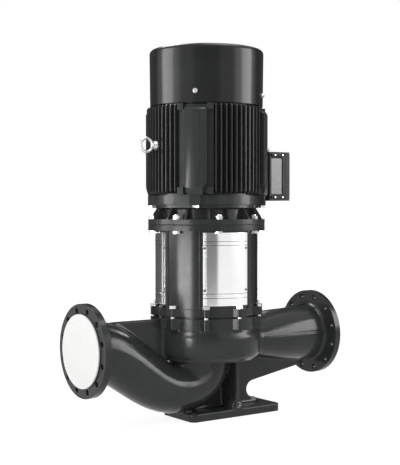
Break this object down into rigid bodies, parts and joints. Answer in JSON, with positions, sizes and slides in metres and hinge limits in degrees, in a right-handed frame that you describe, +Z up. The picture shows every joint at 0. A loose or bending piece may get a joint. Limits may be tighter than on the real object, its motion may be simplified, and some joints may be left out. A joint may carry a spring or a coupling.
{
  "type": "in-line circulation pump",
  "caption": "In-line circulation pump: foot-mounted volute casing with opposed pipe flanges, lantern with sheet guards, and a finned vertical flange motor on top.",
  "frame": {"origin": "where the vertical shaft axis meets the floor under the foot", "axes": "+Z up along the shaft axis, +X along the pipe axis towards the discharge flange, +Y away from the side with the drain plug"},
  "size_m": [1.1053, 0.462, 1.41],
  "materials": {
    "black_paint": "gloss black paint on smooth metal",
    "cast_black": "gloss black paint on cast iron",
    "stainless": "bright stainless sheet",
    "zinc": "zinc plated",
    "steel": "machined steel",
    "bronze": "machined bronze",
    "rubber": "matte",
    "cap_white": "off-white moulded plastic",
    "plastic_grey": "dark grey moulded plastic",
    "copper": "varnished copper winding"
  },
  "bodies": {
    "housing": {"pump_casing": "cast_black", "wear_ring": "bronze", "casing_gasket": "rubber", "seal_cover": "cast_black", "seal_seat": "steel", "lantern": "cast_black", "casing_bolts": "zinc", "jacking_screws": "steel", "coupling_guards": "stainless", "guard_screws": "steel", "motor_flange_bolts": "zinc", "motor_flange_nuts": "zinc", "drive_end_shield": "black_paint", "end_shield_bolts": "zinc", "motor_frame": "black_paint", "stator_core": "steel", "stator_winding": "copper", "rear_end_shield": "black_paint", "rear_shield_bolts": "zinc", "lower_bearing_outer": "steel", "upper_bearing_outer": "steel", "bearing_cap": "cast_black", "bearing_cap_screws": "zinc", "fan_cowl": "black_paint", "cowl_screws": "zinc", "lifting_eyebolts": "zinc", "terminal_box": "black_paint", "terminal_lid": "black_paint", "lid_gasket": "rubber", "lid_screws": "zinc", "terminal_block": "plastic_grey", "terminal_studs": "bronze", "cable_gland": "plastic_grey", "drain_plug": "steel", "vent_plug": "zinc"},
    "rotor": {"motor_shaft": "steel", "rotor_core": "steel", "rotor_end_rings": "zinc", "lower_bearing_inner": "steel", "upper_bearing_inner": "steel", "coupling_halves": "steel", "coupling_bolts": "zinc", "coupling_key": "steel", "pump_shaft": "stainless", "impeller": "bronze", "impeller_key": "steel", "impeller_washer": "steel", "impeller_nut": "steel", "seal_collar": "steel", "seal_spring": "zinc", "seal_ring": "steel", "cooling_fan": "plastic_grey", "fan_circlip": "steel"},
    "lower_ball_set": {"lower_balls": "zinc", "lower_cage": "bronze"},
    "upper_ball_set": {"upper_balls": "zinc", "upper_cage": "bronze"},
    "suction_cap": {"port_cap": "cap_white"}
  },
  "joints": [
    {"name": "rotor_spin", "type": "hinge", "parent": "housing", "child": "rotor", "pos_m": [0, 0, 0], "axis": [0, 0, 1], "continuous": true},
    {"name": "lower_ball_spin", "type": "hinge", "parent": "housing", "child": "lower_ball_set", "pos_m": [0, 0, 0], "axis": [0, 0, 1], "continuous": true},
    {"name": "upper_ball_spin", "type": "hinge", "parent": "housing", "child": "upper_ball_set", "pos_m": [0, 0, 0], "axis": [0, 0, 1], "continuous": true},
    {"name": "cap_pull", "type": "slide", "parent": "housing", "child": "suction_cap", "axis": [-1, 0, 0], "range_m": [0, 0.08]}
  ],
  "couplings": [
    {"joint": "lower_ball_spin", "follows": "rotor_spin", "ratio": 0.38293},
    {"joint": "upper_ball_spin", "follows": "rotor_spin", "ratio": 0.38421}
  ]
}
